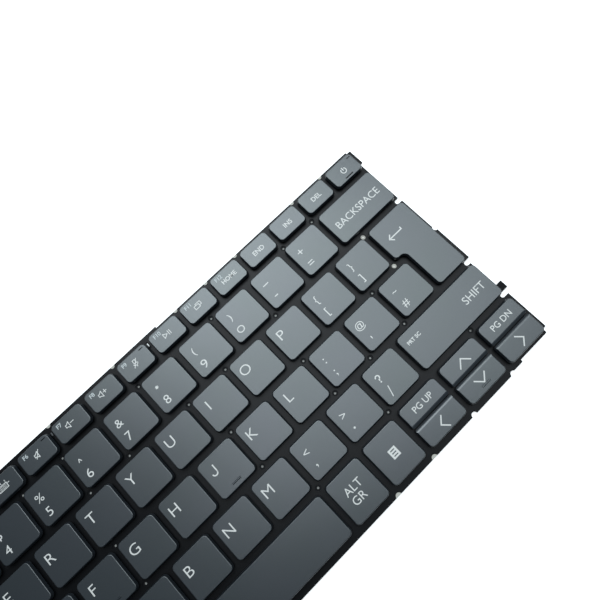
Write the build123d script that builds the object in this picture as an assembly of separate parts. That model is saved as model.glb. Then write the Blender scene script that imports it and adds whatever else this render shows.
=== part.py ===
from build123d import *

import math
import os
from dataclasses import dataclass
from functools import lru_cache

# Laptop replacement keyboard: caps on scissors and rubber domes, over a stack of thin sheets.
# Millimetres. X runs right along the rows, Y away from the typist, Z up from the table.
# The origin is under the middle of the base plate, on the bottom of the back film.

# Key field
KEY_PITCH_X = 18.7
KEY_PITCH_Y = 18.5
KEY_GAP_X = 2.9
KEY_GAP_Y = 3.1
BACKSPACE_CELL = 31.35
ESCAPE_CELL = 20.05
FUNCTION_GAP_X = 2.3
FUNCTION_GAP_Y = 2.9
FUNCTION_KEY_DEPTH = 8.5
BOTTOM_KEY_DEPTH = 17.15
HALF_KEY_GAP = 0.5
LOWER_HALF_DEPTH = 8.45

# Sheets, from the table up
BACK_FILM_THICKNESS = 0.1
LIGHT_GUIDE_THICKNESS = 0.4
PLATE_THICKNESS = 0.4
MEMBRANE_THICKNESS = 0.3
FRONT_MARGIN = 3.15
BACK_MARGIN = 2.55
SHEET_INSET = 0.35
GUIDE_INSET = 0.1

# Plate edge
EDGE_OVERHANG = {
    "function": 1.35,
    "number": 0.0,
    "letter": 0.35,
    "home": 1.1,
    "shift": -0.3,
    "bottom": 0.7,
}
BACK_TAB_START = 2.3
BACK_STEP = 0.7
BACK_STEP_X = 32.0
FRONT_CORNER_CUT = 1.55
FRONT_CORNER_WIDTH = 15.7
FRONT_STEP_CUT = 0.65
FRONT_STEP_WIDTH = 22.0
FRONT_CORNER_NOTCH_WIDTH = 1.05
FRONT_CORNER_NOTCH_DEPTH = 1.8
BACK_CORNER_NOTCH = 0.75
BACK_CORNER_NOTCH_WIDTH = 0.6
SIDE_NOTCH_WIDTH = 2.0
SIDE_NOTCH_DEPTH = 2.4
SIDE_NOTCH_SHIFTS = {"letter": 0.0, "shift": 0.2, "bottom": 0.6}
SIDE_BITE_RADIUS = 1.2
SIDE_BITE_SHIFT = 0.35
EDGE_NOTCH_RADIUS = 0.95
FRONT_NOTCH_RADIUS = 1.25
HOOK_TAB_REACH = 2.75
HOOK_TAB_LENGTH = 3.4
STAKE_HOLE_RADIUS = 0.45
STAKE_HEAD_RADIUS = 1.15
STAKE_OFFSET = 0.75
SCREW_HOLE_RADIUS = 1.0
SCREW_HEAD_RADIUS = 1.05
SCREW_FOOT_RADIUS = 0.5
TAIL_SLOT_WIDTH = 26.0
TAIL_SLOT_DEPTH = 1.6
TAIL_SLOT_OFFSET = 20.0

# Caps
CAP_TOP_WALL = 0.6
CAP_WALL = 0.8
CAP_CORNER_RADIUS = 1.6
CAP_EDGE_RADIUS = 0.3
ENTER_NOTCH_RADIUS = 2.4
SKIRT_FLARE = 0.35
SKIRT_CLEARANCE = 0.12
CAVITY_CORNER_RADIUS = 0.9
HALF_CORNER_RADIUS = 0.8
BEVEL_RUN = 1.3
BEVEL_DROP = 0.68
BEVEL_BEND_RUN = 0.75
BEVEL_BEND_DROP = 0.23
HOMING_BAR_LENGTH = 4.0
HOMING_BAR_WIDTH = 0.7
HOMING_BAR_HEIGHT = 0.3
HOMING_BAR_INSET = 1.7

# Scissors, domes and stabilisers
KEY_TRAVEL = 1.3
LINK_THICKNESS = 0.7
LINK_CLEARANCE = 0.22
LINK_BAR_WIDTH = 0.6
LINK_REACH = 4.4
LINK_NEST = 1.4
LINK_SIDE_ROOM = 1.6
HALF_SIDE_ROOM = 0.15
LINK_GAP = 0.15
AXLE_RADIUS = 0.25
AXLE_CLEARANCE = 0.06
PIVOT_RADIUS = 0.15
PIVOT_CLEARANCE = 0.06
HOOK_WALL = 0.3
HOOK_LIP = 0.22
HOOK_LENGTH = 2.4
HOOK_WINDOW_ROOM = 0.15
CLIP_WALL = 0.3
CLIP_LENGTH = 2.4
CLIP_OVERLAP = 0.2
DOME_RADIUS = 2.3
DOME_ROOM = 0.2
DOME_HEIGHT = 2.0
DOME_WALL = 0.35
DOME_FLANGE = 0.25
DOME_TOP_RADIUS = 1.1
PLUNGER_RADIUS = 0.9
BAR_REACH = 3.2
BAR_FOOT = 1.6
BAR_END_ROOM = 4.5
BAR_SIDE_ROOM = 0.35
STABILISED_WIDTH = 26.0

# Heights that follow from the sizes above
LIGHT_GUIDE_BOTTOM = BACK_FILM_THICKNESS
PLATE_BOTTOM = LIGHT_GUIDE_BOTTOM + LIGHT_GUIDE_THICKNESS
PLATE_TOP = PLATE_BOTTOM + PLATE_THICKNESS
MEMBRANE_TOP = PLATE_TOP + MEMBRANE_THICKNESS
FLAT_LINK_ROOM = LINK_THICKNESS + 2 * LINK_CLEARANCE
CAP_CEILING = MEMBRANE_TOP + FLAT_LINK_ROOM + KEY_TRAVEL
CAP_TOP = CAP_CEILING + CAP_TOP_WALL
SKIRT_BOTTOM = MEMBRANE_TOP + KEY_TRAVEL + SKIRT_CLEARANCE
LOW_AXLE = MEMBRANE_TOP + FLAT_LINK_ROOM / 2
HIGH_AXLE = LOW_AXLE + KEY_TRAVEL

# Rows, each with the keys that lie past the photo's left edge and those that show
ROWS = {
    "function": ("escape f1 f2 f3 f4 f5", "f6 f7 f8 f9 f10 f11 f12 end insert delete power"),
    "number": ("grave 1 2 3 4", "5 6 7 8 9 0 minus equals backspace"),
    "letter": ("tab q w e r", "t y u i o p left_bracket right_bracket enter"),
    "home": ("caps_lock a s d f g", "h j k l semicolon apostrophe hash"),
    "shift": ("left_shift backslash z x c v b", "n m comma period slash right_shift"),
    "bottom": ("control fn system alt", "space alt_gr assist page_up up page_down"),
}
UNITS = {"tab": 1.5, "caps_lock": 1.75, "left_shift": 1.25, "control": 1.25, "space": 5.0}
UNDER_HALF = {"page_up": "left", "up": "down", "page_down": "right"}
HOMING_KEYS = ("f", "j", "down")

# Cell borders, named by the key on their right, with a round hole or an edge notch
SCREWS = "enter e"
STAKES_BEHIND = "0 8 6 5 3 1 o i w hash semicolon k g s"
STAKES_BEFORE = "minus 7 6 3 hash apostrophe semicolon k g d"
STAKES_MID_BACK = "insert delete f4 f2"
STAKE_SHIFTS = {"page_down": (0.9, 0.0), "page_up": (-0.3, 0.8)}
STAKES_MID_FRONT = "page_down page_up alt_gr alt fn"
BACK_NOTCHES = "power delete end f12 f11 f9 f7 f5 f4 f2 f1"
FRONT_NOTCHES = "page_up assist alt fn"
FRONT_THROUGH_NOTCHES = "page_down up"

FUNCTION_COLUMNS = 16
NUMBER_COLUMNS = 13
FIELD_WIDTH = NUMBER_COLUMNS * KEY_PITCH_X + BACKSPACE_CELL
FUNCTION_PITCH = (FIELD_WIDTH - ESCAPE_CELL) / FUNCTION_COLUMNS
FULL_KEY_ROWS = 4
SHEET_DEPTH = (
    FRONT_MARGIN
    + BOTTOM_KEY_DEPTH
    + FULL_KEY_ROWS * KEY_PITCH_Y
    + FUNCTION_GAP_Y
    + FUNCTION_KEY_DEPTH
    + BACK_MARGIN
)


@dataclass(frozen=True)
class Key:
    """A cap's top, its cell's left border, and whether it shows in the photo."""

    name: str
    row: str
    border: float
    west: float
    east: float
    south: float
    north: float
    shows: bool

    @property
    def width(self):
        return self.east - self.west

    @property
    def depth(self):
        return self.north - self.south

    @property
    def half(self):
        return self.row == "function" or self.name in HALF_KEYS


def row_levels():
    """The south and north edges of the caps in each row."""
    levels = {}
    south = FRONT_MARGIN - SHEET_DEPTH / 2
    levels["bottom"] = (south, south + BOTTOM_KEY_DEPTH)
    north = levels["bottom"][1]
    for row in ("shift", "home", "letter", "number"):
        levels[row] = (north + KEY_GAP_Y, north + KEY_PITCH_Y)
        north = levels[row][1]
    south = north + FUNCTION_GAP_Y
    levels["function"] = (south, south + FUNCTION_KEY_DEPTH)
    return levels


def cell_width(row, name, border):
    if row == "function":
        return ESCAPE_CELL if name == "escape" else FUNCTION_PITCH
    if name in FILL_KEYS:
        return FIELD_WIDTH / 2 - border
    if name in UNDER_HALF:
        return ARROW_PITCH
    return UNITS.get(name, 1.0) * KEY_PITCH_X


def lay_out_keys():
    """Every key by name, from the rows' cells."""
    keys = {}
    for row, groups in ROWS.items():
        south, north = LEVELS[row]
        gap = FUNCTION_GAP_X if row == "function" else KEY_GAP_X
        border = -FIELD_WIDTH / 2
        for shows, names in zip((False, True), groups):
            for name in names.split():
                end = border + cell_width(row, name, border)
                west, east = border + gap / 2, end - gap / 2
                low = south
                if name in UNDER_HALF:
                    low = north - UPPER_HALF_DEPTH
                    under = UNDER_HALF[name]
                    top = south + LOWER_HALF_DEPTH
                    keys[under] = Key(under, row, border, west, east, south, top, shows)
                if name == "enter":
                    low = LEVELS["home"][0]
                keys[name] = Key(name, row, border, west, east, low, north, shows)
                border = end
    return keys


# Values that follow from the rows
LEVELS = row_levels()
FILL_KEYS = ("backspace", "enter", "right_shift")
HALF_KEYS = tuple(UNDER_HALF) + tuple(UNDER_HALF.values())
BOTTOM_UNITS = sum(
    UNITS.get(name, 1.0)
    for names in ROWS["bottom"]
    for name in names.split()
    if name not in UNDER_HALF
)
ARROW_PITCH = (FIELD_WIDTH - BOTTOM_UNITS * KEY_PITCH_X) / len(UNDER_HALF)
UPPER_HALF_DEPTH = BOTTOM_KEY_DEPTH - HALF_KEY_GAP - LOWER_HALF_DEPTH
KEYS = lay_out_keys()
ENTER_STEP_WEST = KEYS["hash"].east + KEY_GAP_X
FULL_FRAME = KEY_PITCH_X - KEY_GAP_X - 2 * CAP_WALL - 2 * LINK_SIDE_ROOM
HALF_FRAME = (
    min(FUNCTION_KEY_DEPTH, LOWER_HALF_DEPTH, UPPER_HALF_DEPTH)
    - 2 * CAP_WALL
    - 2 * HALF_SIDE_ROOM
)
OUTER_REACH = LINK_REACH
INNER_REACH = LINK_REACH - LINK_NEST
OUTER_SPAN = math.sqrt(OUTER_REACH**2 - (KEY_TRAVEL / 2) ** 2)
INNER_SPAN = math.sqrt(INNER_REACH**2 - (KEY_TRAVEL / 2) ** 2)
AXLE_SEAT = AXLE_RADIUS + AXLE_CLEARANCE
BAR_RUN = OUTER_SPAN + AXLE_SEAT + HOOK_WALL + BAR_SIDE_ROOM + AXLE_RADIUS
BAR_FOOT_Y = math.sqrt(BAR_REACH**2 - KEY_TRAVEL**2) - BAR_RUN


def box_between(x0, x1, y0, y1, z0, z1):
    """A block between two corners."""
    block = Box(x1 - x0, y1 - y0, z1 - z0, align=(Align.MIN, Align.MIN, Align.MIN))
    return Pos(x0, y0, z0) * block


def rectangle_between(x0, x1, y0, y1):
    return Pos((x0 + x1) / 2, (y0 + y1) / 2) * Rectangle(x1 - x0, y1 - y0)


# The mechanism under one cap, about the cap's middle


def turned(key):
    """Half-depth caps and the enter cap have their scissors turned a quarter."""
    return key.half or key.name == "enter"


def seat(key):
    """Where a cap's scissor sits, and which way it is turned."""
    west = ENTER_STEP_WEST if key.name == "enter" else key.west
    place = Pos((west + key.east) / 2, (key.south + key.north) / 2)
    return place * Rot(Z=90) if turned(key) else place


def frame_width(key):
    return HALF_FRAME if key.half else FULL_FRAME


def bar_half_length(key):
    """Half the length of a wide cap's stabiliser bar, or 0 for a cap with none."""
    length = key.depth if key.name == "enter" else key.width
    if length < STABILISED_WIDTH:
        return 0.0
    return length / 2 - CAP_WALL - BAR_END_ROOM


@lru_cache
def link_frame(width, reach, side, pivot):
    """A scissor frame with an axle at each end, raised at the end that side names.

    The outer frame has pivot holes in its bars, and the inner one has pivot pins on them."""
    bar_x = (width - LINK_BAR_WIDTH) / 2
    bar = Box(LINK_BAR_WIDTH, 2 * (reach + AXLE_RADIUS), LINK_THICKNESS)
    axle = Rot(Y=90) * Cylinder(AXLE_RADIUS, width)
    frame = Pos(bar_x, 0) * bar + Pos(-bar_x, 0) * bar
    frame += [Pos(0, reach) * axle, Pos(0, -reach) * axle]
    if pivot == "pins":
        length = LINK_BAR_WIDTH + LINK_GAP
        pin = Rot(Y=90) * Cylinder(PIVOT_RADIUS, length)
        reach_x = (width + length) / 2
        frame += [Pos(reach_x, 0) * pin, Pos(-reach_x, 0) * pin]
    else:
        frame -= Rot(Y=90) * Cylinder(PIVOT_RADIUS + PIVOT_CLEARANCE, width)
    tilt = side * math.degrees(math.asin(KEY_TRAVEL / 2 / reach))
    return Pos(0, 0, (LOW_AXLE + HIGH_AXLE) / 2) * Rot(X=tilt) * frame


def outer_link(key):
    return seat(key) * link_frame(frame_width(key), OUTER_REACH, 1, "holes")


def inner_link(key):
    width = frame_width(key) - 2 * LINK_BAR_WIDTH - 2 * LINK_GAP
    return seat(key) * link_frame(width, INNER_REACH, -1, "pins")


@lru_cache
def dome_shell(foot):
    """A hollow rubber dome, open below."""
    lid = DOME_HEIGHT - 2 * DOME_WALL
    profile = Polyline(
        (foot, 0),
        (foot, DOME_FLANGE),
        (foot - DOME_WALL, DOME_FLANGE),
        (DOME_TOP_RADIUS, DOME_HEIGHT - DOME_WALL),
        (DOME_TOP_RADIUS, DOME_HEIGHT),
        (0, DOME_HEIGHT),
        (0, lid),
        (DOME_TOP_RADIUS - DOME_WALL, lid),
        (foot - 2 * DOME_WALL, 0),
        close=True,
    )
    return revolve(Plane.XZ * make_face(profile), Axis.Z)


def dome(key):
    """The dome that stands on the membrane inside a key's scissor."""
    inside = frame_width(key) - 4 * LINK_BAR_WIDTH - 2 * LINK_GAP
    foot = min(DOME_RADIUS, inside / 2 - DOME_ROOM)
    return seat(key) * Pos(0, 0, MEMBRANE_TOP) * dome_shell(foot)


def stabiliser_bar(key):
    """A wire that lies along a wide cap, with its feet held by the plate."""
    half = bar_half_length(key)
    path = FilletPolyline(
        (half - BAR_FOOT, BAR_FOOT_Y, LOW_AXLE),
        (half, BAR_FOOT_Y, LOW_AXLE),
        (half, -BAR_RUN, HIGH_AXLE),
        (-half, -BAR_RUN, HIGH_AXLE),
        (-half, BAR_FOOT_Y, LOW_AXLE),
        (BAR_FOOT - half, BAR_FOOT_Y, LOW_AXLE),
        radius=2 * AXLE_RADIUS,
    )
    section = Plane(path @ 0, z_dir=path % 0) * Circle(AXLE_RADIUS)
    return seat(key) * sweep(section, path)


def hook_places(key):
    """The X middle, the axle's Y and the side of the riser, for each plate hook of a key."""
    places = [(0, -OUTER_SPAN, -1), (0, INNER_SPAN, 1)]
    half = bar_half_length(key)
    if half:
        middle = half - BAR_FOOT / 2 - AXLE_RADIUS
        places += [(side * middle, BAR_FOOT_Y, 1) for side in (1, -1)]
    return places


def hook_riser(place):
    """The riser's span in Y."""
    _, axle_y, side = place
    near = axle_y + side * AXLE_SEAT
    return sorted((near, near + side * HOOK_WALL))


def hook_length(place):
    """A scissor's hook is central, and a stabiliser foot's is as long as the foot allows."""
    return HOOK_LENGTH if place[0] == 0 else BAR_FOOT - 2 * AXLE_RADIUS


def plate_hooks(key):
    """The bent hooks that hold a scissor's low axles to the plate."""
    hooks = []
    lip_bottom = LOW_AXLE + AXLE_SEAT
    lip_top = lip_bottom + HOOK_LIP
    for place in hook_places(key):
        middle, axle_y, side = place
        near = axle_y + side * AXLE_SEAT
        far = near + side * HOOK_WALL
        profile = Polyline(
            (near, PLATE_TOP),
            (far, PLATE_TOP),
            (far, lip_top),
            (axle_y, lip_top),
            (axle_y, lip_bottom),
            (near, lip_bottom),
            close=True,
        )
        length = hook_length(place)
        bend = extrude(Plane.YZ * make_face(profile), amount=length)
        hooks.append(seat(key) * Pos(middle - length / 2) * bend)
    return hooks


def hook_windows(key):
    """The membrane's openings around the hooks."""
    windows = []
    for place in hook_places(key):
        y0, y1 = hook_riser(place)
        length = hook_length(place) + 2 * HOOK_WINDOW_ROOM
        window = Rectangle(length, y1 - y0 + 2 * HOOK_WINDOW_ROOM)
        windows.append((seat(key) * Pos(place[0], (y0 + y1) / 2) * window).wire())
    return windows


# Caps


def clip(middle, axle_y):
    """Two cheeks under a cap's ceiling, either side of an axle."""
    x0, x1 = middle - CLIP_LENGTH / 2, middle + CLIP_LENGTH / 2
    bottom = HIGH_AXLE - CLIP_OVERLAP
    cheeks = []
    for side in (1, -1):
        near = axle_y + side * AXLE_SEAT
        y0, y1 = sorted((near, near + side * CLIP_WALL))
        cheeks.append(box_between(x0, x1, y0, y1, bottom, CAP_CEILING))
    return cheeks


def cap_inside(key):
    """The plunger over the dome, and the clips for the scissor and the stabiliser bar."""
    dome_top = MEMBRANE_TOP + DOME_HEIGHT
    height = CAP_CEILING - dome_top
    bottom_up = (Align.CENTER, Align.CENTER, Align.MIN)
    inside = [Pos(0, 0, dome_top) * Cylinder(PLUNGER_RADIUS, height, align=bottom_up)]
    inside += clip(0, OUTER_SPAN) + clip(0, -INNER_SPAN)
    half = bar_half_length(key)
    if half:
        for side in (1, -1):
            inside += clip(side * (half - CLIP_LENGTH), -BAR_RUN)
    return [seat(key) * piece for piece in inside]


def cap_outline(key, grow, radius):
    """A cap's outline seen from above, grown by an amount, with rounded corners."""
    west, east = key.west - grow, key.east + grow
    south, north = key.south - grow, key.north + grow
    if key.name in HALF_KEYS:
        south = LEVELS["bottom"][0] - grow
        north = LEVELS["bottom"][1] + grow
    outline = rectangle_between(west, east, south, north)
    if key.name != "enter":
        return fillet(outline.vertices(), radius)
    x, y = ENTER_STEP_WEST - grow, LEVELS["letter"][0] - grow
    outline -= rectangle_between(west, x, south, y)
    corners = outline.vertices().sort_by_distance((x, y))
    outline = fillet(corners[0], ENTER_NOTCH_RADIUS - grow)
    corners = outline.vertices().sort_by_distance((x, y))
    return fillet(corners[2:], radius)


def cap_blank(key):
    """The outside of a cap, with sloped skirts and a rounded top edge."""
    height = CAP_TOP - SKIRT_BOTTOM
    slope = math.degrees(math.atan(SKIRT_FLARE / height))
    outline = cap_outline(key, SKIRT_FLARE, CAP_CORNER_RADIUS + SKIRT_FLARE)
    blank = extrude(Pos(0, 0, SKIRT_BOTTOM) * outline, amount=height, taper=slope)
    if key.name in HALF_KEYS:
        return half_blank(key, blank)
    return round_top(blank)


def round_top(blank):
    top = blank.faces().sort_by(Axis.Z)[-1]
    return fillet(top.edges(), CAP_EDGE_RADIUS)


def half_blank(key, blank):
    """One of the two caps that share a cell, with a bevel along the cut between them."""
    upper = key.name in UNDER_HALF
    cut, away = (key.south, -1) if upper else (key.north, 1)
    far = cut + away * BOTTOM_KEY_DEPTH
    x0, x1 = key.west - KEY_GAP_X, key.east + KEY_GAP_X
    y0, y1 = sorted((cut, far))
    blank -= box_between(x0, x1, y0, y1, SKIRT_BOTTOM - CAP_WALL, CAP_TOP + CAP_WALL)
    rim = blank.edges().filter_by_position(Axis.Y, cut, cut)
    corners = rim.filter_by(lambda edge: edge.bounding_box().size.Z > CAP_TOP_WALL)
    blank = round_top(fillet(corners, HALF_CORNER_RADIUS))
    start = cut - away * BEVEL_RUN
    bend = (start + away * BEVEL_BEND_RUN, CAP_TOP - BEVEL_BEND_DROP)
    slope = ThreePointArc((start, CAP_TOP), bend, (cut, CAP_TOP - BEVEL_DROP))
    above = Polyline(
        (cut, CAP_TOP - BEVEL_DROP),
        (far, CAP_TOP - BEVEL_DROP),
        (far, CAP_TOP + CAP_WALL),
        (start, CAP_TOP + CAP_WALL),
        (start, CAP_TOP),
    )
    profile = make_face([*slope.edges(), *above.edges()])
    wedge = extrude(Plane.YZ * profile, amount=FIELD_WIDTH, both=True)
    return blank - wedge


def cap_cavity(key):
    outline = cap_outline(key, -CAP_WALL, CAVITY_CORNER_RADIUS)
    if key.name in HALF_KEYS:
        walls = (key.west + CAP_WALL, key.east - CAP_WALL)
        outline = rectangle_between(*walls, key.south + CAP_WALL, key.north - CAP_WALL)
        outline = fillet(outline.vertices(), CAVITY_CORNER_RADIUS)
    return extrude(Pos(0, 0, SKIRT_BOTTOM) * outline, amount=CAP_CEILING - SKIRT_BOTTOM)


def homing_bar(key):
    """A low rounded ridge near a cap's front edge, to find the key by touch."""
    middle = (key.west + key.east) / 2
    x0, x1 = middle - HOMING_BAR_LENGTH / 2, middle + HOMING_BAR_LENGTH / 2
    y0 = key.south + HOMING_BAR_INSET
    y1 = y0 + HOMING_BAR_WIDTH
    foot, top = CAP_TOP - CAP_TOP_WALL / 2, CAP_TOP + HOMING_BAR_HEIGHT
    ridge = ThreePointArc((y0, CAP_TOP), ((y0 + y1) / 2, top), (y1, CAP_TOP))
    sides = Polyline((y1, CAP_TOP), (y1, foot), (y0, foot), (y0, CAP_TOP))
    profile = make_face([*ridge.edges(), *sides.edges()])
    return extrude(Pos(x0) * (Plane.YZ * profile), amount=x1 - x0)


def cap_form(key):
    """Caps with the same form are copies of one another."""
    unlike = key.name if key.name in HOMING_KEYS + FILL_KEYS else ""
    level = "upper" if key.name in UNDER_HALF else key.row
    return (round(key.width, 3), round(key.depth, 3), level, unlike)


def make_cap(key):
    """A cap with its insides, copied from an earlier one of the same form."""
    form = cap_form(key)
    if form not in CAPS:
        cap = cap_blank(key) - cap_cavity(key)
        cap += cap_inside(key)
        if key.name in HOMING_KEYS:
            cap += homing_bar(key)
        CAPS[form] = (key, cap)
    first, cap = CAPS[form]
    return Pos(key.west - first.west, key.south - first.south) * cap


CAPS = {}


# Sheets


def row_borders():
    """The Y borders of each row's strip of the sheets."""
    borders = {}
    south = -SHEET_DEPTH / 2
    rows = list(reversed(ROWS))
    for row, above in zip(rows, rows[1:]):
        north = (LEVELS[row][1] + LEVELS[above][0]) / 2
        if above == "function":
            north = LEVELS[above][0] + BACK_TAB_START
        borders[row] = (south, north)
        south = north
    borders["function"] = (south, SHEET_DEPTH / 2)
    return borders


def sheet_outline(inset, notched):
    """The stepped outline that all the sheets follow, drawn in by an inset."""
    outline = Sketch()
    half_depth = SHEET_DEPTH / 2 - inset
    for row, (south, north) in BORDERS.items():
        half = FIELD_WIDTH / 2 + EDGE_OVERHANG[row] - inset
        low, high = max(south, -half_depth), min(north, half_depth)
        outline += rectangle_between(-half, half, low, high)
    reach = FIELD_WIDTH
    cuts = [rectangle_between(BACK_STEP_X, reach, half_depth - BACK_STEP, reach)]
    front = -half_depth
    corner = FIELD_WIDTH / 2
    for side in (1, -1):
        for width, cut in (
            (FRONT_STEP_WIDTH, FRONT_STEP_CUT),
            (FRONT_CORNER_WIDTH, FRONT_CORNER_CUT),
        ):
            x0, x1 = sorted((side * (corner - width), side * reach))
            cuts.append(rectangle_between(x0, x1, front - cut, front + cut))
        x0, x1 = sorted((side * (corner - BACK_CORNER_NOTCH_WIDTH), side * reach))
        notch = half_depth - BACK_STEP - BACK_CORNER_NOTCH
        cuts.append(rectangle_between(x0, x1, notch, reach))
        x0, x1 = sorted((side * (corner - FRONT_CORNER_NOTCH_WIDTH), side * reach))
        notch = front + FRONT_CORNER_CUT + FRONT_CORNER_NOTCH_DEPTH
        cuts.append(rectangle_between(x0, x1, front - FRONT_CORNER_CUT, notch))
        for row, shift in SIDE_NOTCH_SHIFTS.items():
            cuts.append(side_notch(side, BORDERS[row][1] + shift, inset))
        edge = FIELD_WIDTH / 2 + EDGE_OVERHANG["home"] - inset
        bite = Pos(side * edge, BORDERS["home"][1] + SIDE_BITE_SHIFT)
        cuts.append(bite * Circle(SIDE_BITE_RADIUS))
    for name in BACK_NOTCHES.split() if notched else ():
        key = KEYS[name]
        edge = half_depth - (BACK_STEP if key.border > BACK_STEP_X else 0)
        cuts.append(Pos(key.border, edge) * Circle(EDGE_NOTCH_RADIUS))
    through = FRONT_THROUGH_NOTCHES.split()
    for name in through + FRONT_NOTCHES.split() if notched else through:
        cuts.append(Pos(KEYS[name].border, front) * Circle(FRONT_NOTCH_RADIUS))
    return outline - cuts


def side_notch(side, y, inset):
    """A U-shaped notch in a side edge, between two rows."""
    radius = SIDE_NOTCH_WIDTH / 2
    tip = FIELD_WIDTH / 2 - SIDE_NOTCH_DEPTH - inset + radius
    x0, x1 = sorted((side * tip, side * FIELD_WIDTH))
    slot = rectangle_between(x0, x1, y - radius, y + radius)
    return slot + Pos(side * tip, y) * Circle(radius)


def hook_tabs():
    """Tabs on the plate's ends that slip under the rim of the case."""
    half = FIELD_WIDTH / 2
    south = LEVELS["shift"][0]
    root = half + min(EDGE_OVERHANG.values()) - SIDE_NOTCH_DEPTH
    reach = half + EDGE_OVERHANG["shift"] + HOOK_TAB_REACH
    tabs = Sketch()
    for side in (1, -1):
        x0, x1 = sorted((side * root, side * reach))
        tabs += rectangle_between(x0, x1, south, south + HOOK_TAB_LENGTH)
    return tabs


def hole_behind(name):
    key = KEYS[name]
    return key.border, key.north + STAKE_OFFSET


def hole_before(name):
    key = KEYS[name]
    return key.border, LEVELS[key.row][0] - STAKE_OFFSET


def stake_places():
    """The middles of the small holes at the corners between caps."""
    places = [hole_behind(name) for name in STAKES_BEHIND.split()]
    places += [hole_before(name) for name in STAKES_BEFORE.split()]
    for name in STAKES_MID_BACK.split():
        key = KEYS[name]
        places.append((key.border, key.south - FUNCTION_GAP_Y / 2))
    for name in STAKES_MID_FRONT.split():
        key = KEYS[name]
        dx, dy = STAKE_SHIFTS.get(name, (0.0, 0.0))
        places.append((key.border + dx, key.north + KEY_GAP_Y / 2 + dy))
    return places


def screw_places():
    """The middles of the four larger holes, which stand on a rectangle."""
    names = SCREWS.split()
    return [hole(name) for name in names for hole in (hole_behind, hole_before)]


def make_sheet(inset, radii, bottom, thickness, notched=True, tabs=False, slot=True, windows=()):
    """One thin sheet of the stack, with its stake holes, its screw holes and its windows."""
    outline = sheet_outline(inset, notched)
    if tabs:
        outline += hook_tabs()
    holes = []
    for radius, places in zip(radii, (stake_places(), screw_places())):
        holes += [(Pos(x, y) * Circle(radius)).wire() for x, y in places if radius]
    holes += list(windows)
    if slot:
        space = KEYS["space"]
        x = (space.west + space.east) / 2 + TAIL_SLOT_OFFSET
        y = (space.south + space.north) / 2
        tail = Pos(x, y) * Rectangle(TAIL_SLOT_WIDTH, TAIL_SLOT_DEPTH)
        holes.append(tail.wire())
    sheet = Face(outline.face().outer_wire(), holes)
    return extrude(Pos(0, 0, bottom) * sheet, amount=thickness)


def each_key(make):
    return [solid for key in KEYS.values() for solid in make(key).solids()]


def write(name, shape):
    export_step(shape, f"parts/{name}.step")


BORDERS = row_borders()
PLATE_HOLES = (STAKE_HOLE_RADIUS, SCREW_HOLE_RADIUS)
HEAD_HOLES = (STAKE_HEAD_RADIUS, SCREW_HEAD_RADIUS)
FOOT_HOLES = (None, SCREW_FOOT_RADIUS)

os.makedirs("parts", exist_ok=True)

plate = make_sheet(0, PLATE_HOLES, PLATE_BOTTOM, PLATE_THICKNESS, tabs=True)
hooks = [hook for key in KEYS.values() for hook in plate_hooks(key)]
write("base_plate", plate.fuse(*hooks))

windows = [window for key in KEYS.values() for window in hook_windows(key)]
membrane = make_sheet(
    SHEET_INSET, HEAD_HOLES, PLATE_TOP, MEMBRANE_THICKNESS, slot=False, windows=windows
)
write("circuit_membrane", membrane)
guide = make_sheet(
    GUIDE_INSET, FOOT_HOLES, LIGHT_GUIDE_BOTTOM, LIGHT_GUIDE_THICKNESS, notched=False
)
write("light_guide", guide)
film = make_sheet(GUIDE_INSET, FOOT_HOLES, 0, BACK_FILM_THICKNESS, notched=False)
write("back_film", film)

write("outer_scissor_frames", Compound(each_key(outer_link)))
write("inner_scissor_frames", Compound(each_key(inner_link)))
write("rubber_domes", Compound(each_key(dome)))
wide = [key for key in KEYS.values() if bar_half_length(key)]
bars = [solid for key in wide for solid in stabiliser_bar(key).solids()]
write("stabiliser_bars", Compound(bars))

left_caps = []
for key in KEYS.values():
    cap = make_cap(key)
    if key.shows:
        write(f"key_{key.name}", cap)
    else:
        left_caps += cap.solids()
write("left_keycaps", Compound(left_caps))
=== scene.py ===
# %% [markdown]
# # A laptop keyboard, dressed in Blender
# The object is a thin replacement keyboard: black caps on scissors and rubber domes, over a stack of sheets.
# The CAD model already holds every solid, in metres here, with +Z up.
# This lesson loads it as a frame, sets up the camera and the light, and then adds what CAD leaves out:
# finishes, printed legends, the soft mechanism under each cap, the light guide's lugs and the small lamps.

import math

import bmesh
import bpy
from mathutils import Matrix, Quaternion, Vector


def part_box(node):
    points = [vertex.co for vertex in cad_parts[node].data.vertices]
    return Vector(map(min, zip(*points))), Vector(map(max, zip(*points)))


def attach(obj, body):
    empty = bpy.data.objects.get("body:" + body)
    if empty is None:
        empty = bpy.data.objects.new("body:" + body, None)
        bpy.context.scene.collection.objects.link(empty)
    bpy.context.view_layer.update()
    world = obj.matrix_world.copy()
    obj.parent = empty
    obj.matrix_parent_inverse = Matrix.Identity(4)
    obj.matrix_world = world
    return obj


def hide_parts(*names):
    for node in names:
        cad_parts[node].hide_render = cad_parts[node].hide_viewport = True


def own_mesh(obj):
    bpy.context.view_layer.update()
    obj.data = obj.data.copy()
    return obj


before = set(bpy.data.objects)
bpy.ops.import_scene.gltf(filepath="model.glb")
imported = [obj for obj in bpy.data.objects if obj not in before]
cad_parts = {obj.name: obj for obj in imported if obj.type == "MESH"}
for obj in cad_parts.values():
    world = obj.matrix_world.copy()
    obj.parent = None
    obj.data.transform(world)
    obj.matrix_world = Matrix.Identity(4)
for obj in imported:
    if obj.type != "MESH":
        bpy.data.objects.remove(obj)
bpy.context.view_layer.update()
MM = 0.001
scene = bpy.context.scene

# %% [markdown]
# Every cap that moves is a node of its own, so its box tells where the cap is.
# The rows' heights come from those boxes too. Nothing is measured twice, and a change in the CAD model moves
# everything that is added here.

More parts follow.
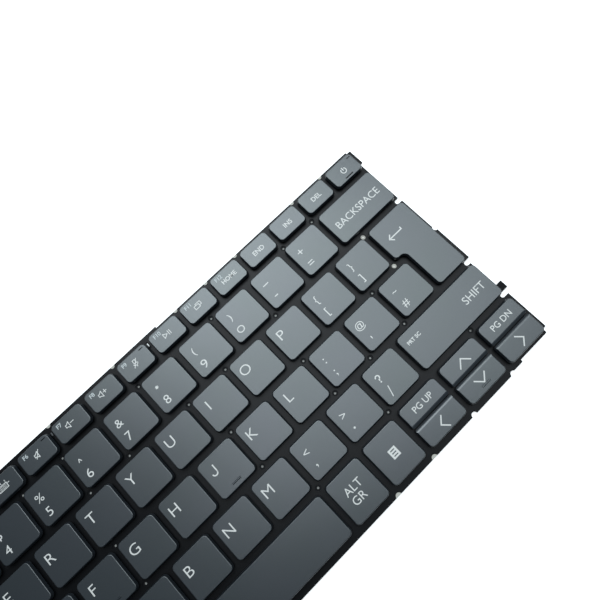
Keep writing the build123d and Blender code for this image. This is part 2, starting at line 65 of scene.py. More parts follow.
# %% Read the caps' places
caps = {name[4:]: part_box(name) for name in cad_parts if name.startswith("key_")}
CAP_TOP = caps["t"][1].z
MEMBRANE_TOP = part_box("circuit_membrane")[1].z
print(len(caps), "moving caps, top at", round(CAP_TOP / MM, 2), "mm")

# %% [markdown]
# ## Camera
# The photograph looks down at the right-hand end of the keyboard, with the rows running up to the right.
# A camera is aimed by a direction and a roll. Here the direction comes from a place and a target, and the
# roll about the camera's own axis is added after it, which is easier to adjust than three Euler angles.

# %% Aim the camera
camera = bpy.data.objects.new("camera", bpy.data.cameras.new("camera"))
scene.collection.objects.link(camera)
place = Vector((52.093, -20.138, 201.841)) * MM
target = Vector((79.022, 21.084, 4.329)) * MM
ROLL_DEGREES = -11.494
LENS_MM = 31.934
roll = Quaternion((0, 0, 1), math.radians(ROLL_DEGREES))
aim = (target - place).to_track_quat("-Z", "Y") @ roll
camera.matrix_world = Matrix.Translation(place) @ aim.to_matrix().to_4x4()
camera.data.sensor_width = 36
camera.data.lens = LENS_MM
camera.data.clip_start = 0.01
scene.camera = camera
scene.view_settings.view_transform = "Standard"
print("camera", round((target - place).length / MM, 1), "mm from its target")

# %% [markdown]
# ## Floor and light
# A product photo stands on white paper. The paper here is a diffuse white that also glows a little, but only
# towards the camera and in reflections: Light Path tells which ray is asking. So the paper looks white
# without lighting the object from below, and the diffuse share still keeps the object's shadow.

# %% Lay the paper
def node_material(name):
    """A material with its nodes cleared, ready for a shader."""
    material = bpy.data.materials.new(name)
    material.use_nodes = True
    material.node_tree.nodes.clear()
    return material, material.node_tree.nodes, material.node_tree.links


def seen_directly(nodes, links, share):
    """A factor for rays from the camera, from gloss and through glass."""
    rays = nodes.new("ShaderNodeLightPath")
    most = rays.outputs["Is Camera Ray"]
    for kind in ("Is Glossy Ray", "Is Transmission Ray"):
        larger = nodes.new("ShaderNodeMath")
        larger.operation = "MAXIMUM"
        links.new(most, larger.inputs[0])
        links.new(rays.outputs[kind], larger.inputs[1])
        most = larger.outputs[0]
    scaled = nodes.new("ShaderNodeMath")
    scaled.operation = "MULTIPLY"
    scaled.inputs[1].default_value = share
    links.new(most, scaled.inputs[0])
    return scaled.outputs[0]


PAPER_GLOW = 0.5
PAPER_WHITE = (0.86, 0.86, 0.86, 1)
PAPER_HALF_SIZE = 3.0
paper, nodes, links = node_material("white paper")
matte = nodes.new("ShaderNodeBsdfDiffuse")
matte.inputs["Color"].default_value = PAPER_WHITE
glow = nodes.new("ShaderNodeEmission")
links.new(seen_directly(nodes, links, PAPER_GLOW), glow.inputs["Strength"])
both = nodes.new("ShaderNodeAddShader")
links.new(matte.outputs[0], both.inputs[0])
links.new(glow.outputs[0], both.inputs[1])
links.new(both.outputs[0], nodes.new("ShaderNodeOutputMaterial").inputs[0])

bm = bmesh.new()
bmesh.ops.create_grid(bm, x_segments=1, y_segments=1, size=PAPER_HALF_SIZE)
floor = bpy.data.objects.new("paper", bpy.data.meshes.new("paper"))
bm.to_mesh(floor.data)
bm.free()
floor.data.materials.append(paper)
scene.collection.objects.link(floor)
print("paper laid,", [round(v, 1) for v in floor.dimensions], "m")

# %% [markdown]
# One large soft box hangs over the back of the right-hand end. Its mirror image lies across the middle of
# the caps, which is what turns black plastic into slate grey in the photograph, and it slides off the caps
# at the lower left, where they stay dark. A second one hangs behind the keyboard: it draws the bright line
# along the caps' rear edges, and leaves their front sides dark. The world adds an even, weak fill.
# A soft box is given by its radiance, so that a larger box isn't a dimmer one.

# %% Hang the soft boxes
LIGHT_COLOUR = (0.89, 1.0, 1.05)


def soft_box(name, width, height, radiance, place, aim_at, turn):
    """A rectangular lamp that shines from a place towards another."""
    lamp = bpy.data.objects.new(name, bpy.data.lights.new(name, "AREA"))
    lamp.data.shape = "RECTANGLE"
    lamp.data.size = width
    lamp.data.size_y = height
    lamp.data.energy = radiance * math.pi * width * height
    lamp.data.color = LIGHT_COLOUR
    lamp.visible_camera = False
    look = Vector(aim_at) - Vector(place)
    aim = look.to_track_quat("-Z", "Y") @ Quaternion((0, 0, 1), turn)
    lamp.matrix_world = Matrix.Translation(place) @ aim.to_matrix().to_4x4()
    scene.collection.objects.link(lamp)
    print(name, round(lamp.data.energy, 2), "W")


over = Vector((0.206, 0.078, 0.507))
soft_box("over box", 0.390, 0.517, 3.66, over, over - Vector((0, 0, 1)), 1.252)
soft_box("rear box", 0.527, 0.255, 4.84, (0.095, 0.344, 0.598), (0.08, 0.0, 0.0), 0.0)

FILL = 0.13
FILL_COLOUR = (0.72, 0.88, 1.0, 1)
world = bpy.data.worlds.new("studio")
world.use_nodes = True
nodes, links = world.node_tree.nodes, world.node_tree.links
nodes.clear()
fill = nodes.new("ShaderNodeBackground")
fill.inputs["Color"].default_value = FILL_COLOUR
fill.inputs["Strength"].default_value = FILL
white = nodes.new("ShaderNodeBackground")
rays = nodes.new("ShaderNodeLightPath")
both = nodes.new("ShaderNodeMixShader")
links.new(rays.outputs["Is Camera Ray"], both.inputs[0])
links.new(fill.outputs[0], both.inputs[1])
links.new(white.outputs[0], both.inputs[2])
links.new(both.outputs[0], nodes.new("ShaderNodeOutputWorld").inputs[0])
scene.world = world
print("fill", FILL)

# %% [markdown]
# ## Finishes
# All the parts are moulded, coated or pressed, and they share one recipe: a base colour that wanders between
# two close tones, a roughness that wanders with it, and a fine grain as a bump. One helper makes them, and
# each finish gives its own tones and scales. Object coordinates keep the grain fixed to the part.

# %% A helper for grained finishes
def grained(name, tones, roughness, patch_mm, grain_mm, bump, metallic=0.0, specular=0.5, tints=None):
    """A finish with two close tones in soft patches, and a fine grain."""
    material, nodes, links = node_material(name)
    shader = nodes.new("ShaderNodeBsdfPrincipled")
    shader.inputs["Metallic"].default_value = metallic
    shader.inputs["Specular IOR Level"].default_value = specular
    links.new(shader.outputs[0], nodes.new("ShaderNodeOutputMaterial").inputs[0])
    spot = nodes.new("ShaderNodeTexCoord").outputs["Object"]
    patches = nodes.new("ShaderNodeTexNoise")
    patches.inputs["Scale"].default_value = 1 / (patch_mm * MM)
    patches.inputs["Detail"].default_value = 3
    grain = nodes.new("ShaderNodeTexNoise")
    grain.inputs["Scale"].default_value = 1 / (grain_mm * MM)
    grain.inputs["Detail"].default_value = 2
    for texture in (patches, grain):
        links.new(spot, texture.inputs["Vector"])
    pairs = {"Base Color": tones, "Specular Tint": tints}
    for socket, pair in pairs.items():
        if pair:
            colour = nodes.new("ShaderNodeMix")
            colour.data_type = "RGBA"
            colour.inputs["A"].default_value = (*pair[0], 1)
            colour.inputs["B"].default_value = (*pair[1], 1)
            links.new(patches.outputs["Fac"], colour.inputs["Factor"])
            links.new(colour.outputs["Result"], shader.inputs[socket])
    gloss = nodes.new("ShaderNodeMapRange")
    gloss.inputs["To Min"].default_value = roughness[0]
    gloss.inputs["To Max"].default_value = roughness[1]
    links.new(grain.outputs["Fac"], gloss.inputs["Value"])
    links.new(gloss.outputs["Result"], shader.inputs["Roughness"])
    relief = nodes.new("ShaderNodeBump")
    relief.inputs["Strength"].default_value = bump
    relief.inputs["Distance"].default_value = grain_mm * MM / 4
    links.new(grain.outputs["Fac"], relief.inputs["Height"])
    links.new(relief.outputs["Normal"], shader.inputs["Normal"])
    return material


cap_plastic = grained(
    "moulded cap", ((0.013, 0.0165, 0.021), (0.018, 0.0215, 0.026)), (0.315, 0.39), 24, 0.12, 0.15,
    specular=0.92, tints=((0.94, 1.0, 0.95), (1.0, 0.98, 1.04)),
)
print("made", cap_plastic.name)

# %% [markdown]
# The sheets under the caps each have a finish of their own. The plate is steel under a black coat, made
# darker still as painted shade in the holes around the stakes, the circuit membrane is black polyester, the
# light guide is milky but painted darker than its cream lugs, as painted shade where it shows at the bottom
# of the holes, and the back film is matt black.
# The mechanism is milky resin, pale rubber and plain steel wire.

# %% Make the other finishes
# The coat is black, and these tones are darker still: painted shade for the recess around each stake hole,
# where the plate shows.
plate_coat_painted_shade = grained(
    "black plate coat with painted shade", ((0.004, 0.004, 0.005), (0.007, 0.007, 0.008)), (0.40, 0.50), 8, 0.15, 0.15,
    specular=0.07,
)
membrane_film = grained(
    "membrane film", ((0.0025, 0.0028, 0.0034), (0.004, 0.0043, 0.005)), (0.32, 0.38), 6, 0.20, 0.08,
    specular=0.14, tints=((1.0, 0.94, 0.94), (1.0, 0.97, 0.97)),
)
# The guide's own colour is the cream of its lugs. These tones are darker: painted shade for where the guide
# shows at the bottom of the stake holes.
guide_sheet_painted_shade = grained(
    "light guide in painted shade", ((0.24, 0.235, 0.22), (0.29, 0.285, 0.27)), (0.45, 0.55), 10, 0.30, 0.05,
    specular=0.2,
)
cream_lug = grained(
    "cream lug", ((0.44, 0.415, 0.37), (0.50, 0.475, 0.43)), (0.45, 0.55), 2.0, 0.20, 0.05, specular=0.2
)
back_black = grained(
    "matt back film", ((0.016, 0.016, 0.017), (0.024, 0.024, 0.026)), (0.55, 0.70), 12, 0.25, 0.15
)
dome_rubber = grained(
    "dome rubber", ((0.55, 0.56, 0.56), (0.63, 0.64, 0.64)), (0.40, 0.50), 1.5, 0.10, 0.08
)
link_resin = grained(
    "milky link resin", ((0.50, 0.50, 0.49), (0.57, 0.57, 0.56)), (0.35, 0.45), 2.0, 0.10, 0.08
)
bar_wire = grained(
    "drawn steel wire", ((0.50, 0.50, 0.51), (0.58, 0.58, 0.59)), (0.25, 0.38), 1.0, 0.08, 0.10, 1.0
)

FINISHES = {
    "base_plate": plate_coat_painted_shade,
    "circuit_membrane": membrane_film,
    "light_guide": guide_sheet_painted_shade,
    "back_film": back_black,
    "rubber_domes": dome_rubber,
    "outer_scissor_frames": link_resin,
    "inner_scissor_frames": link_resin,
    "stabiliser_bars": bar_wire,
}
for name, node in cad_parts.items():
    node.material_slots[0].material = FINISHES.get(name, cap_plastic)
print(len(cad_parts), "nodes finished")

# %% [markdown]
# ## The lift under each cap
# A cap stands on a rubber dome and a folding scissor, and a wide cap has a wire bar as well. In the CAD model
# each kind is one group, which can't fold. So each group is copied, its doubles are merged, and the faces
# under each moving cap become a piece of their own.

# %% Helpers to take a group apart
def add_piece(name, bm, material, body):
    """Turns a bmesh into a piece that rides on a body."""
    mesh = bpy.data.meshes.new(name)
    bm.to_mesh(mesh)
    bm.free()
    mesh.materials.append(material)
    piece = bpy.data.objects.new(name, mesh)
    scene.collection.objects.link(piece)
    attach(piece, body)
    return piece


def merged_copy(*names):
    """The named nodes in one bmesh, with their loose triangles joined."""
    bm = bmesh.new()
    for name in names:
        bm.from_mesh(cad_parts[name].data)
    bmesh.ops.remove_doubles(bm, verts=bm.verts, dist=1e-6)
    return bm


def taken_out(bm, faces):
    """A copy of a bmesh with only some of its faces."""
    bm.faces.index_update()
    kept = {face.index for face in faces}
    taken = bm.copy()
    taken.faces.index_update()
    others = [face for face in taken.faces if face.index not in kept]
    bmesh.ops.delete(taken, geom=others, context="FACES")
    return taken


def shared_out(bm):
    """The faces under each moving cap, and the faces that are left."""
    shares = {name: [] for name in caps}
    rest = []
    for face in bm.faces:
        middle = face.calc_center_median()
        for name, (low, high) in caps.items():
            if low.x < middle.x < high.x and low.y < middle.y < high.y:
                shares[name].append(face)
                break
        else:
            rest.append(face)
    return shares, rest


dome_faces = len(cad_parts["rubber_domes"].data.polygons)
print("the group of domes has", dome_faces, "faces to share out")

# %% [markdown]
# The table gives each kind a share of its height: about a third for a dome, which is what is left of its room
# when the cap is down, and for a scissor the share that would bring its upper axle down as far as the cap,
# with the anchor at the membrane, so that the axle stays in the clips of its cap. The share is listed, and no
# piece is squashed by it. The faces under no moving cap belong to the still keys, and stay one piece.

# %% Make the domes, scissors and bars
LIFTS = {
    "dome": (("rubber_domes",), dome_rubber, "dome_rubber", 0.35),
    "scissor": (("outer_scissor_frames", "inner_scissor_frames"), link_resin, "scissor_white", 0.30),
    "bar": (("stabiliser_bars",), bar_wire, "bar_steel", 0.30),
}
for kind, (groups, finish, slot, keep) in LIFTS.items():
    whole = merged_copy(*groups)
    shares, rest = shared_out(whole)
    made = 0
    for name, faces in [*shares.items(), (None, rest)]:
        if not faces:
            continue
        part_name = f"{kind}_{name}" if name else f"{kind}s_of_still_keys"
        piece = add_piece(part_name, taken_out(whole, faces), finish, "chassis")
        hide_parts(*groups)
        if name:
            low, high = caps[name]
            middle = (low + high) / 2
            foot = (middle.x, middle.y, MEMBRANE_TOP)
            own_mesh(piece)
        made += 1
    whole.free()
    print(made, "pieces of kind", kind)

# %% [markdown]
# ## Printed legends
# The legends are a thin pale print on the caps. Text objects give the letters: each is made a mesh at size 1,
# then scaled and moved in its mesh, so that every piece sits at the origin. A print is a few hundredths of
# a millimetre thick, with its foot just inside the cap.

# %% Helpers for words
PRINT_THICKNESS = 0.03 * MM
CAPITAL = 0.682
STEM = 0.085
THINNEST_STEM_MM = 0.20
STEM_GROWTH = 0.055


def word(text, height):
    """A bmesh of a printed word, one unit thick, at the font's own size."""
    curve = bpy.data.curves.new("word", "FONT")
    curve.body = text
    wanted = THINNEST_STEM_MM + STEM_GROWTH * height
    curve.offset = (wanted * CAPITAL / height - STEM) / 2
    curve.extrude = 0.5
    curve.resolution_u = 4
    holder = bpy.data.objects.new("word", curve)
    mesh = bpy.data.meshes.new_from_object(holder)
    bm = bmesh.new()
    bm.from_mesh(mesh)
    bmesh.ops.remove_doubles(bm, verts=bm.verts, dist=1e-4)
    bpy.data.objects.remove(holder)
    bpy.data.curves.remove(curve)
    bpy.data.meshes.remove(mesh)
    return bm


def spread(bm):
    """The lowest and highest corners of a bmesh."""
    low = Vector(min(v.co[i] for v in bm.verts) for i in range(3))
    high = Vector(max(v.co[i] for v in bm.verts) for i in range(3))
    return low, high


def printed(bm, scale, at, widen=1.0):
    """Scales a mark in millimetres, and prints it on the caps with its middle at a place."""
    low, high = spread(bm)
    middle = (low + high) / 2
    size = Vector((scale * widen * MM, scale * MM, PRINT_THICKNESS))
    bmesh.ops.translate(bm, verts=bm.verts, vec=-middle)
    bmesh.ops.scale(bm, verts=bm.verts, vec=size)
    bmesh.ops.translate(bm, verts=bm.verts, vec=Vector((at[0], at[1], CAP_TOP + PRINT_THICKNESS / 6)))
    return bm


for text in "HIO":
    trial = word(text, 3.8)
    low, high = spread(trial)
    print(text, "at size 1 is", [round(v, 3) for v in high - low])
    trial.free()

# %% [markdown]
# The signs on the function keys and arrows are drawn with strokes. A straight stroke is a cube, stretched
# and turned. A curved one is a small square, spun about the middle of its curve.

# %% Helpers for signs
STROKE = 0.28
BOLD = 0.48


def stroke(bm, start, end, width=STROKE, rise=1.0):
    """A straight stroke with square ends."""
    start, end = Vector((*start, 0)), Vector((*end, 0))
    run = end - start
    turn = Matrix.Rotation(math.atan2(run.y, run.x), 4, "Z")
    size = Matrix.Diagonal((run.length + width, width, rise, 1))
    place = Matrix.Translation((start + end) / 2)
    bmesh.ops.create_cube(bm, size=1, matrix=place @ turn @ size)


def line(bm, points, width=STROKE, closed=False):
    """Strokes from point to point, each a little lower, so that no two faces lie in one plane."""
    ends = points[1:] + points[:1] if closed else points[1:]
    for number, (start, end) in enumerate(zip(points, ends)):
        stroke(bm, start, end, width, 1 - 0.06 * number)


def curve(bm, middle, radius, start, sweep, width=STROKE):
    """A curved stroke: a small upright square, spun by an angle in degrees."""
    stand = Matrix.Rotation(math.radians(90), 4, "X")
    size = Matrix.Diagonal((width, 1, 1, 1))
    turn = Matrix.Rotation(math.radians(start), 4, "Z")
    place = Matrix.Translation((*middle, 0)) @ turn @ Matrix.Translation((radius, 0, 0))
    square = bmesh.ops.create_grid(bm, x_segments=1, y_segments=1, size=0.5, matrix=place @ stand @ size)
    face = square["verts"][0].link_faces[0]
    geometry = [face, *face.edges, *face.verts]
    bmesh.ops.spin(
        bm,
        geom=geometry,
        cent=(*middle, 0),
        axis=(0, 0, 1),
        angle=math.radians(sweep),
        steps=max(4, round(abs(sweep) / 15)),
        use_merge=abs(sweep) == 360,
    )


print("a stroke is", STROKE, "mm wide")

# %% [markdown]
# Each sign is a short list of strokes, in millimetres about the sign's own middle. They are plain, common
# signs: a speaker, a microphone, play and pause, a switch, an arrow.

# %% Draw the signs
def speaker(bm):
    line(bm, [(-1.5, -0.5), (-0.95, -0.5), (0, -1.2), (0, 1.2), (-0.95, 0.5), (-1.5, 0.5)], closed=True)


def sign_mute(bm):
    speaker(bm)
    stroke(bm, (-1.35, -1.15), (0.8, 1.45), rise=0.6)


def sign_quieter(bm):
    speaker(bm)
    stroke(bm, (0.65, 0.2), (2.0, 0.2))


def sign_louder(bm):
    sign_quieter(bm)
    stroke(bm, (1.325, -0.475), (1.325, 0.875), rise=0.9)


def sign_microphone(bm):
    line(bm, [(-0.5, 0.1), (-0.5, 1.5), (0.5, 1.5), (0.5, 0.1)], closed=True)
    curve(bm, (0, 0.2), 1.0, 190, 160)
    stroke(bm, (0, -0.8), (0, -1.4), rise=0.9)
    stroke(bm, (-1.3, -1.3), (1.2, 1.5), rise=0.6)


def sign_play(bm):
    line(bm, [(-1.7, -0.95), (-1.7, 0.95), (-0.1, 0)], closed=True)
    stroke(bm, (0.6, -0.9), (0.6, 0.9))
    stroke(bm, (1.35, -0.9), (1.35, 0.9))


def sign_windows(bm):
    line(bm, [(-1.6, -1.0), (0.6, -1.0), (0.6, 0.4), (-1.6, 0.4)], closed=True)
    line(bm, [(-0.6, 0.4), (-0.6, 1.0), (1.6, 1.0), (1.6, -0.4), (0.6, -0.4)])


def sign_lamp_keys(bm):
    line(bm, [(-1.9, -1.15), (1.9, -1.15), (1.9, 0.7), (-1.9, 0.7)], closed=True)
    for y in (-0.7, -0.22, 0.26):
        stroke(bm, (-1.4, y), (1.4, y), 0.16)
    for x in (-1.75, 0, 1.75):
        stroke(bm, (x, 1.25), (x, 1.7), 0.24)
    for x in (-2.55, 2.55):
        stroke(bm, (x - 0.3, 0.15), (x + 0.3, 0.15), 0.24)


def sign_sun(bm):
    curve(bm, (0, 0), 0.5, 0, 360)
    for turn in range(0, 360, 45):
        x, y = math.cos(math.radians(turn)), math.sin(math.radians(turn))
        stroke(bm, (0.95 * x, 0.95 * y), (1.2 * x, 1.2 * y), 0.2)


def sign_screen(bm):
    line(bm, [(-1.4, -0.7), (1.4, -0.7), (1.4, 1.0), (-1.4, 1.0)], closed=True)
    stroke(bm, (-0.6, -1.1), (0.6, -1.1))


def sign_question(bm):
    curve(bm, (0, 0.5), 0.6, 170, -230)
    stroke(bm, (0, -0.2), (0, -0.45))
    stroke(bm, (0, -1.0), (0, -1.02))


def sign_power(bm):
    curve(bm, (0, 0), 1.15, 125, 290, 0.36)
    stroke(bm, (0, 0.2), (0, 1.35), 0.36)


def sign_enter(bm):
    line(bm, [(3.25, 0.4), (3.25, -0.4), (-3.25, -0.4)], BOLD)
    line(bm, [(-1.95, 0.9), (-3.25, -0.4), (-1.95, -1.7)], BOLD)


def sign_up(bm):
    line(bm, [(-2.65, -1.35), (0, 1.3), (2.65, -1.35)], BOLD)


def sign_down(bm):
    line(bm, [(-2.65, 1.35), (0, -1.3), (2.65, 1.35)], BOLD)


def sign_left(bm):
    line(bm, [(1.2, 2.3), (-1.1, 0), (1.2, -2.3)], BOLD)


def sign_right(bm):
    line(bm, [(-1.2, 2.3), (1.1, 0), (-1.2, -2.3)], BOLD)


def sign_menu(bm):
    for x in (-1.3, 1.3):
        stroke(bm, (x, -1.5), (x, 1.5), 0.75)
    for y in (-1.55, -0.52, 0.52, 1.55):
        stroke(bm, (-1.2, y), (1.2, y), 0.62, 0.9)


trial = bmesh.new()
sign_enter(trial)
low, high = spread(trial)
print("the enter sign is", [round(v, 2) for v in high - low], "mm")
trial.free()

# %% [markdown]
# A few characters of the built-in font differ much from a keyboard's, so these are drawn as signs too. Their
# strokes are as wide as the letters'.

# %% Draw some characters
def letter_j(bm):
    stroke(bm, (1.0, 1.7), (1.0, -0.8), BOLD)
    curve(bm, (-0.05, -0.8), 1.05, 0, -180, BOLD)


def question(bm):
    curve(bm, (0, 0.7), 0.8, 175, -240, 0.46)
    stroke(bm, (0.02, -0.2), (0.02, -0.5), 0.46)
    stroke(bm, (-0.03, -1.3), (0.03, -1.3), 0.5)


def star(bm):
    for turn in (30, 90, 150):
        x, y = 0.5 * math.cos(math.radians(turn)), 0.5 * math.sin(math.radians(turn))
        stroke(bm, (-x, -y), (x, y), 0.36, turn / 150)


def low_dash(bm):
    stroke(bm, (-1.1, 0), (1.1, 0), 0.42)


def dash(bm):
    stroke(bm, (-0.6, 0), (0.6, 0), 0.42)


def full_stop(bm):
    curve(bm, (0, 0), 0.2, 0, 360, 0.4)


DRAWN = {"J": letter_j, "?": question, "_": low_dash, "-": dash, ".": full_stop, "*": star}
print(len(DRAWN), "characters are drawn with strokes")

# %% [markdown]
# The keys past the picture's left edge don't move, and are one node together, so their places are worked out
# from the moving caps: row by row, from the first moving cap to the left, one gap and one cap at a time.

# %% Find the places of the left keys
unit_width = caps["t"][1].x - caps["t"][0].x
unit_gap = caps["y"][0].x - caps["t"][1].x
function_width = caps["f7"][1].x - caps["f7"][0].x
function_gap = caps["f7"][0].x - caps["f6"][1].x
left_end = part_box("left_keycaps")[0].x
LEFT_ROWS = {
    "f6": "f5 f4 f3 f2 f1 escape",
    "5": "4 3 2 1 grave",
    "t": "r e w q tab",
    "h": "g f d s a caps_lock",
    "n": "b v c x z backslash left_shift",
    "space": "alt system fn control",
}

middles = {name: (low + high) / 2 for name, (low, high) in caps.items()}
for first, names in LEFT_ROWS.items():
    width = function_width if first == "f6" else unit_width
    gap = function_gap if first == "f6" else unit_gap
    edge = caps[first][0].x
    row = names.split()
    for name in row:
        east = edge - gap
        west = left_end if name == row[-1] else east - width
        middles[name] = Vector(((west + east) / 2, middles[first].y, CAP_TOP))
        edge = west
print(len(middles), "keys in all, escape at", round(middles["escape"].x / MM, 1), "mm")

# %% [markdown]
# A legend is a mark at an offset from the middle of its key. Letters stand near the top left corner, and a
# key with two signs has one above the other. The offsets and heights were read from the photograph.

# %% List the legends
LETTER_AT, LETTER_HEIGHT = (-3.9, 2.45), 3.8
UPPER_AT, LOWER_AT, PAIR_HEIGHT = (-3.9, 2.4), (-3.85, -3.6), 3.3
LABEL_LEFT, LABEL_UP, LABEL_HEIGHT = -4.75, 2.45, 1.5
WIDEN = 1.08
GLYPH_SIZES = {
    "(": 0.8, ")": 0.8, "@": 0.8, "/": 1.25, ",": 1.2, "0": 0.82, "{": 0.86, "}": 0.86,
    "[": 0.87, "]": 0.87, "~": 0.7, "#": 0.92, "<": 0.88, ">": 0.88, "^": 0.65, "%": 0.9, "&": 0.94,
}
GLYPH_WIDTHS = {"9": 1.2, "6": 1.15, "P": 1.15}
SIGN_AT = (-0.1, 0.2)
PAIRS = {
    "grave": "¬`", "1": "!1", "2": '"2', "3": "£3", "4": "$4", "5": "%5", "6": "^6", "7": "&7",
    "8": "*8", "9": "(9", "0": ")0", "minus": "_-", "equals": "+=", "left_bracket": "{[",
    "right_bracket": "}]", "semicolon": ":;", "apostrophe": "@'", "hash": "~#", "backslash": "|\\",
    "comma": "<,", "period": ">.", "slash": "?/",
}
WORDS = {
    "escape": [("ESC", 0, -0.25, 2.2)],
    "f12": [("HOME", 0.2, -0.1, 1.7)],
    "end": [("END", 0, -0.25, 1.87)],
    "insert": [("INS", 0, -0.25, 1.87)],
    "delete": [("DEL", 0, -0.25, 1.87)],
    "backspace": [("BACKSPACE", 0.1, -0.5, 2.9)],
    "right_shift": [("SHIFT", 12.9, -0.25, 3.0), ("PRT SC", -15.75, 3.6, 1.4)],
    "alt_gr": [("ALT", -0.2, 2.1, 2.95), ("GR", -0.9, -2.0, 2.95)],
    "page_up": [("PG UP", 0, 0.3, 2.35)],
    "page_down": [("PG DN", 0, 0.3, 2.35)],
    "tab": [("TAB", -3.0, -0.25, 3.3)],
    "caps_lock": [("CAPS LOCK", 0, -0.25, 3.0)],
    "left_shift": [("SHIFT", 0, -0.25, 3.3)],
    "control": [("CTRL", 0, 0, 3.3)],
    "fn": [("FN", 0, 0, 3.3)],
    "alt": [("ALT", 0, 0, 3.3)],
}
SIGNS = {
    "f1": sign_question, "f2": sign_sun, "f3": sign_sun, "f4": sign_screen, "f5": sign_lamp_keys,
    "f6": sign_mute, "f7": sign_quieter, "f8": sign_louder, "f9": sign_microphone, "f10": sign_play,
    "f11": sign_windows, "power": sign_power, "up": sign_up, "down": sign_down, "left": sign_left,
    "right": sign_right, "enter": sign_enter, "assist": sign_menu,
}
SIGN_PLACES = {
    "f6": (0.16, 0.16), "f7": (-0.25, 0.32), "f8": (-0.25, 0.32), "power": (0, 0), "up": (0, 0),
    "down": (0, 0.1), "left": (0, -0.6), "right": (0, -0.3), "enter": (-2.3, 8.95), "assist": (0, 0),
}
print(len(PAIRS), "pairs,", len(WORDS), "keys with words,", len(SIGNS), "keys with signs")

# %% [markdown]
# The print is a warm white. The small labels on the function keys are printed greyer, as they are in the
# photograph.

# %% Mix the print
print_white = grained(
    "legend print", ((0.60, 0.585, 0.56), (0.68, 0.665, 0.64)), (0.45, 0.55), 2.0, 0.10, 0.05
)
print_grey = grained(
    "label print", ((0.44, 0.46, 0.46), (0.50, 0.52, 0.52)), (0.45, 0.55), 2.0, 0.10, 0.05
)
print("made", print_white.name, "and", print_grey.name)

# %% [markdown]
# Now the lists are printed, key by key. A moving key's marks are joined in one piece that rides on that key,
# and the marks of the still keys become one piece together.

# %% Print every key
def drawn(draw):
    """A sign or a drawn character as a bmesh."""
    bm = bmesh.new()
    draw(bm)
    return bm


def marks_of(name):
    """The marks of one key, each a bmesh in place, with the grey ones apart."""
    white, grey = [], []

    def put(bm, scale, offset, out=white, widen=1.0):
        spot = (middles[name].x + offset[0] * MM, middles[name].y + offset[1] * MM)
        out.append(printed(bm, scale, spot, widen))

    def put_character(text, height, offset):
        if text in DRAWN:
            put(drawn(DRAWN[text]), 1, offset)
            return
        glyph = "O" if text == "0" else text
        size = height * GLYPH_SIZES.get(text, 1)
        put(word(glyph, size), size / CAPITAL, offset, widen=GLYPH_WIDTHS.get(text, WIDEN))

    if len(name) == 1 and name.isalpha():
        put_character(name.upper(), LETTER_HEIGHT, LETTER_AT)
    for text, offset in zip(PAIRS.get(name, ""), (UPPER_AT, LOWER_AT)):
        put_character(text, PAIR_HEIGHT, offset)
    for text, x, y, height in WORDS.get(name, []):
        put(word(text, height), height / CAPITAL, (x, y))
    if name in SIGNS:
        put(drawn(SIGNS[name]), 1, SIGN_PLACES.get(name, SIGN_AT))
    if name[0] == "f" and name[1:].isdigit():
        label = word(name.upper(), LABEL_HEIGHT)
        low, high = spread(label)
        scale = LABEL_HEIGHT / CAPITAL
        put(label, scale, (LABEL_LEFT + (high.x - low.x) * scale / 2, LABEL_UP), grey)
    return white, grey


def joined(marks):
    """Several marks in one bmesh."""
    whole = bmesh.new()
    for mark in marks:
        mesh = bpy.data.meshes.new("mark")
        mark.to_mesh(mesh)
        whole.from_mesh(mesh)
        bpy.data.meshes.remove(mesh)
        mark.free()
    bmesh.ops.recalc_face_normals(whole, faces=whole.faces)
    return whole


left_white, left_grey = [], []
printed_keys = 0
for name in middles:
    white, grey = marks_of(name)
    if name not in caps:
        left_white += white
        left_grey += grey
        continue
    if white:
        add_piece(f"legend_{name}", joined(white), print_white, f"key_{name}")
        printed_keys += 1
    if grey:
        add_piece(f"label_{name}", joined(grey), print_grey, f"key_{name}")
add_piece("legends_left", joined(left_white), print_white, "chassis")
add_piece("labels_left", joined(left_grey), print_grey, "chassis")
print(printed_keys, "moving keys printed, and the left ones together")

# %% [markdown]
# ## Lugs of the light guide
# Half-round notches along the plate's long edges show the cream light guide. There it has low lugs that reach
# up into the notches, flush with the edge, as a sheet that is located by its lugs would have. Each lug is a
# disc, cut along the edge and drawn up. A cream ring of the same sheet lines each hole for a case screw.

# %% Set the lugs in the notches, and the rings in the holes
REAR_LUGS = "f1 f2 f4 f5 f7 f9 f11 f12 end delete power".split()
FRONT_LUGS = "fn alt assist page_up".split()
REAR_LUG_RADIUS, FRONT_LUG_RADIUS, LUG_HEIGHT = 0.93 * MM, 1.2 * MM, 0.36 * MM
STEP_X, STEP_DEPTH = 32 * MM, 0.7 * MM
SCREW_PLACES = [(x, y) for x in (-71.775, 115.225) for y in (5.525, 22.425)]
RING_RADIUS, RING_WIDTH, RING_HEIGHT = 0.595, 0.75, 0.12 * MM


def cut_disc(bm, x, edge, radius, outward):
    """A disc on an edge, without the half that stands out past it."""
    middle = (x, edge, guide_top)
    disc = bmesh.ops.create_circle(
        bm, cap_ends=True, segments=32, radius=radius, matrix=Matrix.Translation(middle)
    )
    corners = disc["verts"]
    sides = {e for corner in corners for e in corner.link_edges}
    faces = {f for corner in corners for f in corner.link_faces}
    bmesh.ops.bisect_plane(
        bm, geom=[*corners, *sides, *faces], plane_co=middle, plane_no=(0, outward, 0), clear_outer=True
    )


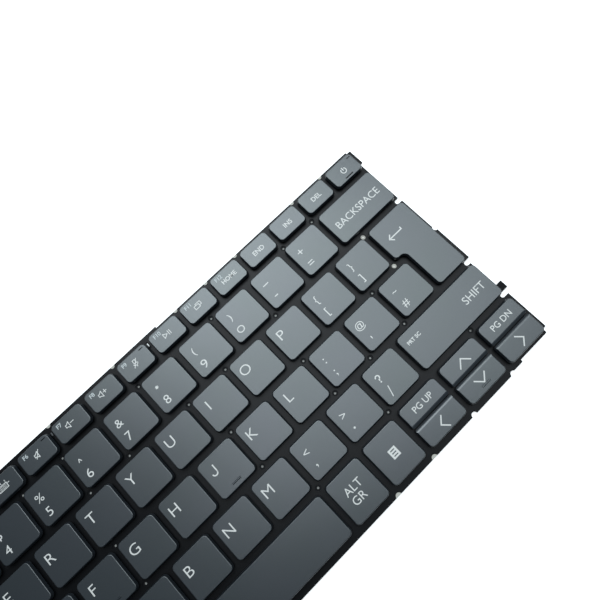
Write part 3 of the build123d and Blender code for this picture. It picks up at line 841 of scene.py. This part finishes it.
guide_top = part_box("light_guide")[1].z
plate_low, plate_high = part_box("base_plate")
half_cell = (middles["f7"].x - middles["f6"].x) / 2
bm = bmesh.new()
for name in REAR_LUGS:
    x = middles[name].x - half_cell
    cut_disc(bm, x, plate_high.y - (STEP_DEPTH if x > STEP_X else 0), REAR_LUG_RADIUS, 1)
for name in FRONT_LUGS:
    west = caps[name][0].x if name in caps else middles[name].x - unit_width / 2
    cut_disc(bm, west - unit_gap / 2, plate_low.y, FRONT_LUG_RADIUS, -1)
raised = bmesh.ops.extrude_face_region(bm, geom=list(bm.faces), use_keep_orig=True)
top = [v for v in raised["geom"] if isinstance(v, bmesh.types.BMVert)]
bmesh.ops.translate(bm, vec=(0, 0, LUG_HEIGHT), verts=top)
bmesh.ops.recalc_face_normals(bm, faces=list(bm.faces))
add_piece("guide_lugs", bm, cream_lug, "chassis")

bm = bmesh.new()
for place in SCREW_PLACES:
    curve(bm, place, RING_RADIUS, 0, 360, RING_WIDTH)
lift = Matrix.Translation((0, 0, guide_top + RING_HEIGHT / 2))
bmesh.ops.transform(bm, matrix=lift @ Matrix.Diagonal((MM, MM, RING_HEIGHT, 1)), verts=list(bm.verts))
add_piece("screw_hole_rings", bm, cream_lug, "chassis")
print(len(REAR_LUGS) + len(FRONT_LUGS), "lugs,", len(SCREW_PLACES), "rings")

# %% [markdown]
# ## Indicator lamps
# Two function keys have a dark slit in a corner, over a lamp. The lamps themselves are tiny white packages
# in dark seats on the membrane, in the gap beside the key, one of them smoked. The power key has a slit of
# its own and a low bar.

# %% Make the slits, the bar and the lamps
def block(bm, middle, size, edge):
    """A box with its edges bevelled, all in millimetres."""
    matrix = Matrix.Translation(Vector(middle) * MM) @ Matrix.Diagonal((*(Vector(size) * MM), 1))
    made = bmesh.ops.create_cube(bm, size=1, matrix=matrix)
    edges = {e for corner in made["verts"] for e in corner.link_edges}
    bmesh.ops.bevel(
        bm, geom=list(edges), offset=edge * MM, affect="EDGES", segments=2, profile=0.5, material=-1
    )


slit_black = grained(
    "smoked window", ((0.003, 0.003, 0.004), (0.006, 0.006, 0.007)), (0.55, 0.65), 1.0, 0.10, 0.02,
    specular=0.1,
)
lamp_white = grained(
    "lamp package", ((0.70, 0.70, 0.68), (0.78, 0.78, 0.76)), (0.35, 0.45), 1.0, 0.10, 0.05
)
lamp_smoked = grained(
    "smoked lamp", ((0.06, 0.06, 0.065), (0.09, 0.09, 0.095)), (0.35, 0.45), 1.0, 0.10, 0.05
)
SLIT_HEIGHT, SLIT_EDGE = 0.06, 0.02
LAMP_SIZE, SEAT_SIZE, LAMP_EDGE = (0.42, 1.4, 0.2), (0.85, 2.9, 0.1), 0.04
LAMP_SHIFT = 0.1
SLITS = {
    "f6": [(4.85, 3.05, 1.9, 0.38)],
    "f9": [(4.80, 3.05, 1.9, 0.38)],
    "power": [(5.35, 2.75, 1.6, 0.38), (0.15, -3.25, 4.0, 0.5)],
}
for name, slits in SLITS.items():
    bm = bmesh.new()
    for x, y, length, width in slits:
        spot = (middles[name].x / MM + x, middles[name].y / MM + y, CAP_TOP / MM)
        block(bm, spot, (length, width, SLIT_HEIGHT), SLIT_EDGE)
    add_piece(f"slit_{name}", bm, slit_black, f"key_{name}")

LAMPS = {"microphone_lamp": (25.5, 50.25, lamp_white), "mute_lamp": (-22.3, 50.25, lamp_smoked)}
for name, (x, y, finish) in LAMPS.items():
    foot = MEMBRANE_TOP / MM
    seat = bmesh.new()
    block(seat, (x, y, foot + SEAT_SIZE[2] / 2), SEAT_SIZE, LAMP_EDGE)
    add_piece(f"{name}_seat", seat, slit_black, "chassis")
    lamp = bmesh.new()
    block(lamp, (x, y + LAMP_SHIFT, foot + SEAT_SIZE[2] + LAMP_SIZE[2] / 2), LAMP_SIZE, LAMP_EDGE)
    add_piece(name, lamp, finish, "chassis")
print(len(SLITS), "keys with slits,", len(LAMPS), "lamps")
